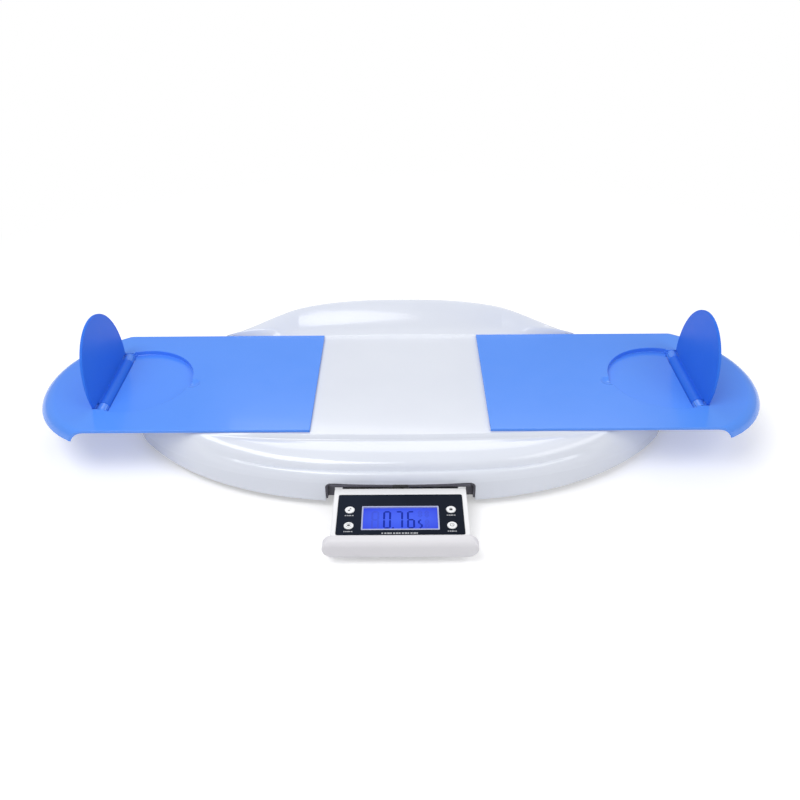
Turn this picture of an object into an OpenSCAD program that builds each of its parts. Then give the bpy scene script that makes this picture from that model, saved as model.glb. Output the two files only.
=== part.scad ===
// Digital baby weighing scale: a boat-shaped body, two pull-out boards with
// folding end stops, and a display drawer. Millimetres, floor at Z = 0, +X to
// the right, +Y to the back. The origin is the bottom centre of the whole box.

/* [Body] */
// Length of the body, tip to tip
body_l = 640; // [620:1:660]
// Depth of the body, front to back
body_w = 305; // [300:1:312]
// Height of the boards' top surface above the floor
board_h = 64; // [62:1:68]
// Gap between the floor and the lower edge of the skirt
foot_h = 9; // [8:0.5:10]
// Height of the upright skirt at the middle
skirt_h = 28; // [26:0.5:29]
// How far the shoulder of the skirt falls towards the ends
shoulder_fall = 13; // [10:0.5:14]
// Height of the rear rim above the boards' top surface
rim_rise = 26.5; // [20:0.5:30]
// Half length over which the rear rim stands above the boards
rim_reach = 222; // [215:1:228]
// Thickness of the casing walls
wall = 2.5; // [2:0.1:2.8]
// How far the platform reaches beyond the boards, front and back
platform_margin = 4.5; // [4:0.5:6]

/* [Boards] */
// Width of the boards, front to back
board_w = 200; // [196:1:202]
// Thickness of the boards
board_t = 3; // [2.6:0.1:3.2]
// How far each board slides
board_travel = 94.5; // [90:0.5:96]
// Bulge of a board's rounded end beyond its corners
end_bulge = 57.5; // [50:0.5:62]
// Horizontal run of the turned-down lip
lip_run = 18; // [14:0.5:20]
// Drop of the turned-down lip
lip_drop = 13; // [10:0.5:13.5]
// Distance of the hinge from the rounded end
hinge_inset = 80.5; // [78:0.5:84]
// Width of the guide stem
stem_w = 6; // [5:0.2:6.4]
// Gap between a slide shoe and the casing's side, at the end of its track
shoe_gap = 0.8; // [0.6:0.1:1.5]
// Gap between a slide shoe and the wall of the channel beside it
rail_gap = 2.4; // [2.2:0.1:3]

/* [Flaps] */
// Radius of the round flap
flap_r = 61; // [56:0.5:62]
// Height of the flap's centre above the board
flap_rise = 18; // [16:0.5:20]
// Thickness of the flap
flap_t = 3; // [2.6:0.1:3.4]
// Radius of the hinge barrel
barrel_r = 7; // [6.6:0.1:7.2]
// Half length of the flap's own hinge barrel
barrel_half = 46; // [40:0.5:48]
// Outward lean of the open flap
flap_lean = 5; // [3:0.5:7]
// Radius of the hinge pin
pin_r = 2; // [1.6:0.1:2.4]
// Depth of the recess that takes the folded flap
recess_depth = 5.5; // [4.5:0.1:6]

/* [Drawer] */
// Width of the drawer
drawer_w = 134; // [130:1:136]
// Visible length of the drawer's panel when it is pulled out
panel_l = 67.5; // [66:0.5:70]
// How far the drawer slides
drawer_travel = 76; // [74:0.5:78]
// Length of the tray that stays inside the bay
tray_hold = 35; // [32:1:38]
// Height of the panel's surface above the floor
panel_h = 29; // [28.5:0.1:29.4]
// How far the front handle bar reaches beyond the drawer on each side
grip_over = 8; // [6:0.5:8]
// Depth of the front handle bar
grip_t = 10; // [8:0.5:12]
// Height of the front handle bar
grip_h = 20.5; // [19:0.5:21]
// Width of the space beside the drawer in the bay
bay_side = 10.5; // [10:0.5:13]
// Width of the panel's white border beside the display window
border_w = 5; // [4:0.5:6]
// Depth of the display window
window_d = 57; // [55:0.5:58]
// Width of the display's frame
lcd_w = 76; // [74:1:78]
// Depth of the display's frame
lcd_d = 33.6; // [32:0.2:34]
// Radius of a button
button_r = 4.75; // [4.4:0.05:5]
// Travel of a button
button_travel = 0.6; // [0.4:0.1:0.6]
// Distance of the buttons from the window's ends
button_inset = 12; // [11:0.5:13]

/* [Base] */
// Distance of the feet from the centre along the body
foot_x = 228; // [220:1:232]
// Distance of the feet from the centre across the body
foot_y = 52; // [48:1:54]
// Radius of a foot
foot_r = 13; // [12:0.5:13.5]
// Radius of a battery
cell_r = 7.25; // [7:0.05:7.3]
// Length of a battery
cell_l = 50.5; // [49:0.5:51]
// Radius of the casing screws
screw_r = 1.5; // [1.3:0.1:1.6]

/* [Hidden] */
$fn = 48;

seat = 0.3;        // gap under and beside pieces that slide
fit = 0.05;        // radial clearance of pins, buttons and screws
eps = 0.01;

white = [0.93, 0.95, 0.98];
blue = [0.36, 0.56, 0.98];
deep_blue = [0.20, 0.42, 0.88];
dark = [0.28, 0.28, 0.32];
black = [0.05, 0.06, 0.10];
steel = [0.72, 0.73, 0.75];
pcb_green = [0.10, 0.38, 0.22];

// ---- body outline and levels ----
half_l = body_l / 2;
half_w = body_w / 2;
platform_half = board_w / 2 + platform_margin;  // half depth of the platform at the middle
bay_half = drawer_w / 2 + bay_side;
grip_w = drawer_w + 2 * grip_over;
window_w = drawer_w - 2 * border_w;
button_x = window_w / 2 - button_inset;
plan_p = 2.6;      // fullness of the outline along its length
plan_q = 1.3;      // fullness of the outline across its depth
platform_h = board_h - board_t - seat;
shoulder_h = foot_h + skirt_h;
channel_h = board_h - 2 * barrel_r - 1.5;      // floor of the channels under the boards
taper = 7;         // how much narrower the platform is near the body's ends
tip_share = 0.9;                               // platform's share of the outline near the tips
station_step = 6;                              // degrees between two sections of the body

// Half depth of the body at distance x from its middle; an ellipse rounds off the tips.
function long_curve(x) = half_w * pow(max(0, 1 - pow(abs(x) / half_l, plan_p)), 1 / plan_q);
tip_x = 0.9 * half_l;
tip_y = long_curve(tip_x);
tip_slope = (long_curve(tip_x - 0.5) - long_curve(tip_x + 0.5));
tip_run = 0.0625 * half_l;
tip_end = tip_x + tip_run;
tip_off = pow(tip_run, 2) / (tip_y / tip_slope - 2 * tip_run);
tip_a = tip_off + tip_run;
tip_b = tip_a * sqrt(tip_slope * tip_y / tip_off);
function outline(x) = abs(x) < tip_x ? long_curve(x)
  : tip_b * sqrt(max(0, 1 - pow((abs(x) - tip_x + tip_off) / tip_a, 2)));
// Half depth of the platform that the boards slide on.
function platform_edge(x) =
  min(platform_half - taper * pow(x / (0.635 * half_l), 2), tip_share * outline(x));
// Height of the skirt's shoulder.
function shoulder(x) = shoulder_h - shoulder_fall * min(1, pow(abs(x) / (0.84 * half_l), plan_p));
// Height of the rear rim's arc, which runs on down over both ends.
function rim_arc(x) = board_h + rim_rise * (1 - pow(x / rim_reach, 2));
tip_round = 16;    // rounding of the casing's upper edge at the tips
function tip_drop(x) = let (t = min(tip_round, max(0, abs(x) - tip_end + tip_round)))
  tip_round - sqrt(pow(tip_round, 2) - t * t);
function top_level(x) = min(platform_h, rim_arc(x)) - tip_drop(x);
function rim_level(x) = max(top_level(x), rim_arc(x));
function smooth(t) = let (c = min(1, max(0, t))) c * c * (3 - 2 * c);
function mix(a, b, t) = a + (b - a) * t;
// 0 over the middle of the body, 1 near its ends.
function end_share(x) = smooth((abs(x) / half_l - 0.375) / 0.36);

// Profiles from the skirt's shoulder to the platform: [inward share, height share].
// A height share over 1 runs down again from the rim to the platform.
front_profile = [[0.012, 0], [0.033, 0.13], [0.072, 0.24], [0.118, 0.295], [0.152, 0.288],
  [0.172, 0.275], [0.190, 0.36], [0.225, 0.49], [0.285, 0.60], [0.38, 0.69], [0.52, 0.752],
  [0.72, 0.788], [0.905, 0.80], [0.955, 0.90], [1, 1]];
back_profile = [[0.012, 0], [0.030, 0.055], [0.066, 0.10], [0.096, 0.125], [0.108, 0.15],
  [0.100, 0.24], [0.082, 0.42], [0.076, 0.66], [0.082, 0.86], [0.100, 0.955], [0.150, 1],
  [0.23, 1.03], [0.42, 1.30], [0.74, 1.80], [1, 2]];
end_profile = [[0.03, 0], [0.06, 0.12], [0.10, 0.22], [0.145, 0.32], [0.20, 0.41],
  [0.26, 0.50], [0.325, 0.58], [0.39, 0.655], [0.46, 0.725], [0.54, 0.79], [0.625, 0.85],
  [0.72, 0.905], [0.815, 0.95], [0.91, 0.985], [1, 1]];

// One side of a section, from the skirt's lower edge to the platform: [y, z], y positive.
function side_points(x, profile) =
  let (k = end_share(x), yo = outline(x), yp = platform_edge(x), low = shoulder(x),
       flat = top_level(x), high = len([for (p = profile) if (p[1] > 1) 1]) ? rim_level(x) : flat)
  concat([[yo, foot_h]], [for (i = [0 : len(profile) - 1])
    let (u = mix(profile[i][0], end_profile[i][0], k), v = profile[i][1], last = len(profile) - 1,
         z = v <= 1 ? low + v * (high - low) : high - (v - 1) * (high - flat),
         z_end = i == last ? flat : low + end_profile[i][1] * (high - low))
    [yo - u * (yo - yp), mix(z, z_end, k)]]);

// Channels under the boards let the recesses and hinge barrels pass.
channel_half = flap_r + 7;
channel_from = body_l * 0.1542;                // where the channel's ramp starts
channel_full = channel_from + 0.0485 * body_l;  // where the channel is at its full depth
function channel_share(x) = min(1, max(0, (abs(x) - channel_from - 1) / (channel_full - channel_from)));
function channel_level(x) = mix(top_level(x), min(top_level(x), channel_h), channel_share(x));
function channel_edge(x) = min(channel_half, platform_edge(x) - min(1.8 * wall, 0.035 * outline(x)));

function outer_ring(x) =
  let (front = side_points(x, front_profile), back = side_points(x, back_profile),
       e = channel_edge(x), s = 0.02 * platform_edge(x))
  concat([for (p = front) [x, -p[0], p[1]]],
    [[x, -e - s, top_level(x)], [x, -e, channel_level(x)],
     [x, e, channel_level(x)], [x, e + s, top_level(x)]],
    [for (i = [len(back) - 1 : -1 : 0]) [x, back[i][0], back[i][1]]]);

// Inside of the casing, one wall in from the outside.
function inner_side(x, rear) =
  let (xo = min(half_l, abs(x) + wall), yo = outline(xo) - wall, yp = platform_edge(xo) - 0.6 * wall,
       low = shoulder(x), flat = yp < channel_edge(x) + 2 * wall ? channel_level(x) : top_level(x),
       rise = rim_level(x) - top_level(x), k = end_share(x), h = flat - low, top = flat - wall, tip = top - low,
       middle = rear
         ? [[0.035, low - wall - 1], [0.165, low + 0.2 * h], [0.15, top + 0.88 * rise],
            [0.30, top + 0.70 * rise], [0.62, top + 0.24 * rise], [1, top]]
         : [[0.01, low - wall], [0.18, low + 0.24 * h], [0.42, low + 0.56 * h],
            [0.92, flat - 0.3 * h - 0.4 * wall], [0.97, top - 0.12 * h], [1, top]],
       end = [[0.01, low - wall], [0.15, low + 0.35 * tip], [0.36, low + 0.62 * tip],
              [0.66, low + 0.85 * tip], [0.88, low + 0.96 * tip], [1, top]])
  concat([[yo, foot_h]], [for (i = [0 : 5])
    [mix(yo, yp, mix(middle[i][0], end[i][0], k)), mix(middle[i][1], end[i][1], k)]]);
function inner_ring(x) =
  let (front = inner_side(x, false), back = inner_side(x, true), corner = front[len(front) - 1],
       edge = corner[0], top = corner[1],
       e = min(channel_edge(x) + wall, edge - 1), s = min(0.02 * platform_edge(x), 0.5 * (edge - e)))
  concat([for (p = front) [x, -p[0], p[1]]],
    [[x, -e - s, top], [x, -e, channel_level(x) - wall],
     [x, e, channel_level(x) - wall], [x, e + s, top]],
    [for (i = [len(back) - 1 : -1 : 0]) [x, back[i][0], back[i][1]]]);

// The casing's wall as one closed solid: outer skin, inner skin, and the rim between them.
module casing_wall() {
  n = len(stations);
  k0 = (n - len(inner_stations)) / 2;
  k1 = k0 + len(inner_stations) - 1;
  outer = [for (x = stations) outer_ring(x)];
  inner = [for (x = inner_stations) inner_ring(x)];
  m = len(outer[0]);
  w = len(inner[0]);
  base = n * m;
  outer_faces = [for (i = [0 : n - 2], j = [0 : m - 2]) let (a = i * m + j)
    each [[a, a + 1, a + m], [a + 1, a + m + 1, a + m]]];
  inner_faces = [for (i = [0 : k1 - k0 - 1], j = [0 : w - 2]) let (a = base + i * w + j)
    each [[a, a + w, a + 1], [a + 1, a + w, a + w + 1]]];
  q = base + (k1 - k0) * w;
  ends = [[for (j = [m - 1 : -1 : 0]) j], [for (j = [0 : m - 1]) (n - 1) * m + j],
    [for (j = [0 : w - 1]) base + j], [for (j = [w - 1 : -1 : 0]) q + j]];
  rim_tips = [for (i = [0 : n - 2]) if (i < k0 - 1 || i > k1)
    [i * m, (i + 1) * m, (i + 2) * m - 1, (i + 1) * m - 1]];
  rim_sides = [for (i = [k0 : k1 - 1]) let (a = i * m, b = base + (i - k0) * w)
    each [[a, a + m, b + w, b], [b + w - 1, b + 2 * w - 1, a + 2 * m - 1, a + m - 1]]];
  rim_joins = [
    [(k0 - 1) * m, k0 * m, base, base + w - 1, (k0 + 1) * m - 1, k0 * m - 1],
    [(k1 + 1) * m, (k1 + 2) * m - 1, (k1 + 1) * m - 1, q + w - 1, q, k1 * m]];
  polyhedron(points = concat([for (r = outer) each r], [for (r = inner) each r]),
    faces = concat(outer_faces, inner_faces, ends, rim_tips, rim_sides, rim_joins));
}

fall_x = rim_reach * sqrt(1 + (board_h - platform_h) / rim_rise);   // where the platform starts to fall
tub_x = rim_reach * sqrt(1 + (recess_depth + board_t) / rim_rise);  // where it is below the recesses
half_stations = [for (a = [0 : station_step : 90]) (tip_end - 0.6) * sin(a)];
falling = [for (x = half_stations) if (x > 0 && x < fall_x) x, fall_x,
  for (x = half_stations) if (x > fall_x && x < tub_x) x, tub_x, for (x = half_stations) if (x > tub_x) x];
stations = [for (i = [len(falling) - 1 : -1 : 0]) -falling[i], 0, for (x = falling) x];
inner_stations = [for (x = stations) if (abs(x) < tip_end - 10) x];
function inner_edge(x) = outline(abs(x) + wall) - wall;
// Flat shapes: the whole footprint drawn in by a margin, and the hollow drawn in by a gap.
module footprint(margin) polygon(concat([for (x = stations) [x, margin - outline(x)]],
  [for (i = [len(stations) - 1 : -1 : 0]) [stations[i], outline(stations[i]) - margin]]));
module hollow(gap) {
  xs = inner_stations;
  n = len(xs) - 1;
  function tucked(i) = xs[i] + (i == 0 ? gap : i == n ? -gap : 0);
  polygon(concat([for (i = [0 : n]) [tucked(i), gap - inner_edge(xs[i])]],
    [for (i = [n : -1 : 0]) [tucked(i), inner_edge(xs[i]) - gap]]));
}

module at_origin() translate([0, (grip_front + -half_w) / 2, 0]) children();
module rounded_plate(w, d, t, r) linear_extrude(t) rounded_shape(w, d, r);
module rounded_shape(w, d, r) union() {
  square([w - 2 * r, d], center = true);
  square([w, d - 2 * r], center = true);
  for (sx = [-1, 1], sy = [-1, 1]) translate([sx * (w / 2 - r), sy * (d / 2 - r)]) circle(r);
}

// ---- boards and flaps: drawn for the left, mirrored for the right ----
board_in = board_travel + 1;                         // inner end of a board at rest
board_out = half_l - 3 + board_travel;               // outermost point of a board at rest
lip_r = (pow(lip_run, 2) + pow(lip_drop, 2)) / (2 * lip_drop);
lip_turn = 2 * atan(lip_drop / lip_run);
arc_r = (pow(board_w / 2, 2) + pow(end_bulge, 2)) / (2 * end_bulge);
hinge_x = board_out - hinge_inset;
hinge_h = board_h - barrel_r;
recess_x = hinge_x - flap_rise - barrel_r;
recess_r = flap_r + 3.5;
knuckle_end = barrel_half + 11;
slot_half = knuckle_end + 2;
stem_from = board_in + board_travel + 2;             // inner end of the guide stems
shoe_top = platform_h - wall - seat;
shoe_t = 3;
shoe_in = 5.5;
shoe_out = 5;
shoe_over = 5;
shoe_screw_r = 1.3;
stem_y = channel_half + wall + rail_gap + shoe_in;   // distance of the stems from the centre line
shoe_side = stem_y + shoe_out + shoe_gap + 0.6 * wall;
narrow_x = half_l * pow(1 - pow(shoe_side / (tip_share * half_w), plan_q), 1 / plan_p) - wall;
taper_x = 0.635 * half_l * sqrt((platform_half - shoe_side) / taper) - wall;
track_end = min(narrow_x, taper_x, fall_x) - seat;   // outer end of the shoes' track
stem_l = track_end - shoe_over - stem_from;
arc_steps = 24;

function arc_x(y) = board_out - arc_r + sqrt(pow(arc_r, 2) - pow(y, 2));
arc_ys = [for (i = [0 : arc_steps]) board_w * (i / arc_steps - 0.5)];

module board_plan() polygon(concat([[-board_in, -board_w / 2]],
  [for (y = arc_ys) [lip_run - arc_x(y), y]], [[-board_in, board_w / 2]]));

// The lip: a strip that turns down along an arc and follows the rounded end.
module lip() {
  turns = [-2, for (i = [0 : 6]) lip_turn * i / 6];
  upper = [for (a = turns) a < 0 ? [-2, 0] : [lip_r * sin(a), lip_r * (1 - cos(a))]];
  lower = [for (a = turns) a < 0 ? [-2, board_t]
    : [(lip_r - board_t) * sin(a), lip_r - (lip_r - board_t) * cos(a)]];
  n = len(turns);
  rings = [for (y = arc_ys) concat(
    [for (p = upper) [lip_run - arc_x(y) - p[0], y, board_h - p[1]]],
    [for (i = [n - 1 : -1 : 0]) [lip_run - arc_x(y) - lower[i][0], y, board_h - lower[i][1]]])];
  m = 2 * n;
  last = len(rings) - 1;
  sides = [for (i = [0 : last - 1], j = [0 : m - 1]) let (k = (j + 1) % m, a = i * m)
    each [[a + j, a + k, a + m + j], [a + k, a + m + k, a + m + j]]];
  caps = [for (j = [0 : n - 2]) each [
    [j, m - 1 - j, m - 2 - j, j + 1],
    [last * m + j + 1, last * m + m - 2 - j, last * m + m - 1 - j, last * m + j]]];
  polyhedron(points = [for (r = rings) each r], faces = concat(sides, caps));
}

module across(r, y0, y1, x, z) translate([x, y0, z]) rotate([-90, 0, 0]) cylinder(r = r, h = y1 - y0);

module board() {
  slot_out = hinge_x + barrel_r + 1;
  slot_in = hinge_x - barrel_r - 0.6;
  difference() {
    union() {
      translate([0, 0, board_h - board_t]) linear_extrude(board_t) board_plan();
      lip();
      // Tub of the recess.
      intersection() {
        translate([-recess_x, 0, board_h - recess_depth - board_t])
          cylinder(r = recess_r + board_t, h = recess_depth + board_t - eps, $fn = 96);
        translate([-slot_in, -board_w / 2, 0]) cube([2 * recess_r, board_w, board_h - board_t / 2]);
      }
      // Knuckles that hold the pin.
      for (side = [-1, 1]) {
        y0 = side < 0 ? -knuckle_end : barrel_half + seat;
        y1 = side < 0 ? -barrel_half - seat : knuckle_end;
        across(barrel_r - 0.4, y0, y1, -hinge_x, hinge_h);
        translate([-slot_out - 2, y0, board_h - board_t - 3]) cube([barrel_r + 3, y1 - y0, 3 + eps]);
      }
      // Guide stems.
      for (side = [-1, 1])
        translate([-stem_from - stem_l, side * stem_y - stem_w / 2, shoe_top])
          cube([stem_l, stem_w, board_h - board_t / 2 - shoe_top]);
    }
    // Recess for the folded flap.
    intersection() {
      translate([-recess_x, 0, board_h - recess_depth]) cylinder(r = recess_r, h = recess_depth + 1, $fn = 96);
      translate([-slot_in - 1, -board_w / 2, 0]) cube([2 * recess_r, board_w, board_h + 1]);
    }
    // Slot for the flap's barrel, and room above the knuckles.
    translate([-slot_out, -barrel_half - seat, board_h - 2 * board_t - recess_depth])
      cube([slot_out - slot_in, 2 * (barrel_half + seat), 2 * board_t + recess_depth + 1]);
    for (side = [-1, 1]) translate([-slot_out, side < 0 ? -slot_half : barrel_half, board_h - board_t - eps])
      difference() {
        cube([slot_out - slot_in, slot_half - barrel_half, board_t + 1]);
        across(barrel_r - 0.4, -1, slot_half, slot_out - hinge_x, hinge_h - board_h + board_t);
      }
    across(pin_r + fit, -knuckle_end - 1, knuckle_end + 1, -hinge_x, hinge_h);
    // Finger notch at the recess's far side.
    translate([-recess_x + recess_r + 2, -8, board_h + 14]) sphere(r = 17);
    for (side = [-1, 1], s = shoe_screw_spots())
      translate([-s, side * stem_y, shoe_top - 1]) cylinder(r = shoe_screw_r + fit, h = 5, $fn = 24);
  }
}

// Screws of a shoe, one for each 14 mm of its stem.
function shoe_screw_spots() = let (n = max(1, floor(stem_l / 14)))
  [for (i = [0 : n - 1]) stem_from + (i + 0.5) / n * stem_l];

module slide_shoes() for (side = [-1, 1]) difference() {
  mirror([0, side < 0 ? 1 : 0, 0]) translate([-stem_from - stem_l - shoe_over, stem_y - shoe_in, shoe_top - shoe_t])
    cube([stem_l + 2 * shoe_over, shoe_in + shoe_out, shoe_t]);
  for (s = shoe_screw_spots()) translate([-s, side * stem_y, shoe_top - shoe_t - 1])
    cylinder(r = shoe_screw_r + fit, h = shoe_t + 2, $fn = 24);
}

module shoe_screws() for (side = [-1, 1], s = shoe_screw_spots())
  translate([-s, side * stem_y, shoe_top - shoe_t]) {
    translate([0, 0, -1.6]) cylinder(r = 2.4, h = 1.6, $fn = 24);
    cylinder(r = shoe_screw_r, h = shoe_t + 3.4, $fn = 24);
  }

module hinge_pin() across(pin_r, -knuckle_end + 0.5, knuckle_end - 0.5, -hinge_x, hinge_h);

// The flap stands on its barrel and leans out; its outer face is tangent to the barrel.
module flap() translate([-hinge_x, 0, hinge_h]) rotate([0, -flap_lean, 0]) difference() {
  union() {
    intersection() {
      translate([-barrel_r, 0, flap_rise + barrel_r]) rotate([0, 90, 0])
        cylinder(r = flap_r, h = flap_t, $fn = 96);
      translate([-barrel_r - 1, -flap_r, barrel_r + seat]) cube([flap_t + 2, 2 * flap_r, 3 * flap_r]);
    }
    translate([0, -barrel_half, 0]) rotate([-90, 0, 0]) cylinder(r = barrel_r, h = 2 * barrel_half);
    translate([-barrel_r, -barrel_half, 0]) cube([flap_t, 2 * barrel_half, barrel_r + 1]);
  }
  translate([0, -barrel_half - 1, 0]) rotate([-90, 0, 0]) cylinder(r = pin_r + fit, h = 2 * barrel_half + 2);
}

// ---- drawer ----
bay_mouth = -half_w;                              // the skirt's face at the middle
panel_back = bay_mouth - 1.5;
panel_front = panel_back - panel_l;
grip_front = -(panel_front - grip_t);             // distance of the grip's face from the centre line
tray_back = panel_back + tray_hold;
base_top = foot_h + 0.5 + wall;
tray_h0 = base_top + seat;
frame_h0 = panel_h - 2.5;
window_h0 = panel_h - 1.5;
window_t = 1.7;
board_h0 = tray_h0 + 6.7;                         // underside of the display's circuit board
pcb_t = 1.6;
lcd_y = panel_back - 43.5;
window_y = panel_back - 9.5 - window_d / 2;
button_ys = [panel_back - 32.3, panel_back - 54.6];
lcd_t = 2.4;
tray_wall = 2;
bay_wall = 2;
liner_half = bay_half - seat;
liner_top = panel_h + 3.2;
bay_top = liner_top + seat;
bay_corner = 6;
liner_back = tray_back + drawer_travel + 3;
catch_w = 13;
catch_end = tray_back - 3.6;

module drawer_tray() {
  len_y = tray_back - panel_front;
  difference() {
    translate([-drawer_w / 2, panel_front, tray_h0]) cube([drawer_w, len_y, frame_h0 - tray_h0]);
    translate([tray_wall - drawer_w / 2, panel_front + tray_wall, tray_h0 + tray_wall])
      cube([drawer_w - 2 * tray_wall, len_y - 2 * tray_wall, frame_h0]);
    for (p = grip_screw_spots()) translate([p, panel_front - 1, (tray_h0 + frame_h0) / 2]) rotate([-90, 0, 0])
      cylinder(r = screw_r + fit, h = tray_wall + 2, $fn = 24);
  }
  // Guide ribs and the stop rib at the rear.
  for (side = [-1, 1]) translate([side * (drawer_w / 2 - 4) - 4, tray_back - tray_hold + 4, frame_h0 - eps])
    cube([8, tray_hold - 4, liner_top - bay_wall - seat - frame_h0]);
  translate([-catch_w / 2 + 1, tray_back - tray_wall, frame_h0 - eps])
    cube([catch_w - 2, tray_wall, liner_top - bay_wall - seat - frame_h0]);
  // Posts under the circuit board.
  for (p = display_screw_spots()) translate([p[0], p[1], tray_h0 + tray_wall - eps]) difference() {
    cylinder(r = 3, h = board_h0 - tray_h0 - tray_wall + eps);
    translate([0, 0, 0.6]) cylinder(r = 1 + fit, h = 9, $fn = 24);
  }
}

function grip_screw_spots() = [-0.32 * drawer_w, 0.32 * drawer_w];
function display_screw_spots() = [for (sx = [-1, 1], y = [panel_back - 10, panel_front + 7])
  [sx * (window_w / 2 - 8), y]];

// Handle bar with round ends and a rounded upper front edge.
module drawer_grip() {
  r = grip_h / 2;
  z0 = foot_h + 0.2;
  top_r = 0.7 * grip_t;
  difference() {
    intersection() {
      translate([0, panel_front, z0]) rotate([90, 0, 0]) linear_extrude(grip_t) union() {
        for (sx = [-1, 1]) translate([sx * (grip_w / 2 - r), r]) circle(r);
        translate([r - grip_w / 2, 0]) square([grip_w - 2 * r, grip_h]);
      }
      translate([-grip_w / 2 - 1, 0, 0]) rotate([90, 0, 90]) linear_extrude(grip_w + 2) union() {
        translate([panel_front - grip_t, z0 - 1]) square([grip_t, grip_h + 1 - top_r]);
        translate([panel_front - grip_t + top_r, z0 - 1]) square([grip_t - top_r, grip_h + 1]);
        translate([panel_front - grip_t + top_r, z0 + grip_h - top_r]) circle(top_r);
      }
    }
    for (p = grip_screw_spots()) translate([p, panel_front - 5, (tray_h0 + frame_h0) / 2]) rotate([-90, 0, 0])
      cylinder(r = screw_r + fit, h = 6, $fn = 24);
  }
}

module panel_frame() translate([0, (panel_back + panel_front) / 2, frame_h0]) difference() {
  rounded_plate(drawer_w, panel_l, panel_h - frame_h0, 2);
  translate([0, window_y - (panel_back + panel_front) / 2, window_h0 - frame_h0])
    rounded_plate(window_w + 0.4, window_d + 0.4, 3, 2);
  translate([0, window_y - (panel_back + panel_front) / 2, -1])
    rounded_plate(window_w - 5, window_d - 5, 5, 1);
  for (p = display_screw_spots()) translate([p[0], p[1] - (panel_back + panel_front) / 2, -1])
    cylinder(r = 3.2, h = 2);
}

module display_window() difference() {
  translate([0, window_y, window_h0]) rounded_plate(window_w, window_d, window_t, 1.8);
  translate([0, lcd_y, window_h0 - 1]) rounded_plate(lcd_w + 0.3, lcd_d + 0.3, 4, 1);
  for (sx = [-1, 1], y = button_ys) translate([sx * button_x, y, window_h0 - 1])
    cylinder(r = button_r + fit, h = 4);
}

module lcd_frame() translate([0, lcd_y, window_h0]) difference() {
  rounded_plate(lcd_w, lcd_d, window_t + 0.1, 0.9);
  translate([0, 0, -1]) rounded_plate(lcd_w - 3, lcd_d - 3, 4, 0.5);
}

module lcd_glass() translate([-lcd_w / 2, lcd_y - lcd_d / 2, window_h0 - lcd_t]) cube([lcd_w, lcd_d, lcd_t]);

module backlight() {
  h0 = board_h0 + pcb_t;
  translate([1 - lcd_w / 2, lcd_y - lcd_d / 2 + 1, h0]) cube([lcd_w - 2, lcd_d - 2, window_h0 - lcd_t - h0]);
}

module display_board() difference() {
  translate([3 - window_w / 2, panel_front + 4, board_h0]) cube([window_w - 6, panel_l - 8, pcb_t]);
  for (p = display_screw_spots()) translate([p[0], p[1], board_h0 - 1]) cylinder(r = 1 + fit, h = 4, $fn = 24);
}

module display_screws() for (p = display_screw_spots()) translate([p[0], p[1], board_h0 + pcb_t]) {
  cylinder(r = 2, h = 1.4, $fn = 24);
  translate([0, 0, -pcb_t - 3.5]) cylinder(r = 1, h = pcb_t + 3.5, $fn = 24);
}

switch_top = window_h0 - 3.5;
module button_switches() for (sx = [-1, 1], y = button_ys) translate([sx * button_x, y, board_h0 + pcb_t]) {
  translate([-3, -3, 0]) cube([6, 6, switch_top - board_h0 - pcb_t - 0.6]);
  cylinder(r = 1.6, h = switch_top - board_h0 - pcb_t, $fn = 24);
}

module button(sx, row) translate([sx * button_x, button_ys[row], 0]) {
  translate([0, 0, switch_top + button_travel + 0.1]) cylinder(r = 3, h = 2);
  translate([0, 0, window_h0 - 1.5]) cylinder(r = button_r + 1.2, h = 1.4);
  translate([0, 0, window_h0 - 1]) cylinder(r = button_r, h = window_t + 1.4);
  translate([0, 0, window_h0 + window_t + 0.4 - eps]) cylinder(r1 = button_r, r2 = button_r - 0.5, h = 0.4 + eps);
}

// ---- bay ----
module bay_profile(half, top, r) {
  translate([-half, 0]) square([2 * half, top - r]);
  translate([r - half, 0]) square([2 * (half - r), top]);
  for (sx = [-1, 1]) translate([sx * (half - r), top - r]) circle(r);
}

flange_from = bay_mouth + 28.5;                   // front end of the liner's screw flanges
flange_to = liner_back - 8;
flange_t = 2;
module bay_liner() {
  len_y = liner_back - bay_mouth + 4;
  flange_w = 9;
  difference() {
    union() {
      intersection() {
        translate([0, liner_back, 0]) rotate([90, 0, 0]) linear_extrude(len_y) difference() {
          bay_profile(liner_half, liner_top, bay_corner);
          bay_profile(liner_half - bay_wall, liner_top - bay_wall, bay_corner - bay_wall);
        }
        translate([0, 0, base_top]) linear_extrude(board_h) footprint(seat);
      }
      for (sx = [-1, 1]) translate([sx * (liner_half + flange_w / 2 - 1) - flange_w / 2 - 1, flange_from, base_top])
        cube([flange_w + 2 - 1, flange_to - flange_from, flange_t]);
    }
    // Slot for the catch.
    translate([-catch_w / 2 - seat, bay_mouth - 8, liner_top - bay_wall - 1])
      cube([catch_w + 2 * seat, catch_end - bay_mouth + 9, bay_wall + 2]);
    for (p = bay_screw_spots()) translate([p[0], p[1], base_top - 1]) cylinder(r = screw_r + fit, h = 4, $fn = 24);
  }
}

function bay_screw_spots() = [for (sx = [-1, 1], y = [flange_from + 8, flange_to - 8])
  [sx * (liner_half + 5), y]];

module bay_screws() for (p = bay_screw_spots()) translate([p[0], p[1], base_top + flange_t]) {
  cylinder(r = 2.8, h = 1.6, $fn = 24);
  translate([0, 0, -4.2]) cylinder(r = screw_r, h = 4.2, $fn = 24);
}

module runner() {
  x0 = drawer_w / 2 + seat;
  x1 = liner_half - bay_wall;
  front = panel_front + drawer_travel + 1;
  translate([-x1, front, base_top]) cube([x1 - x0, liner_back - front - 2, liner_top - bay_corner - 0.2 - base_top]);
}

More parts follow.
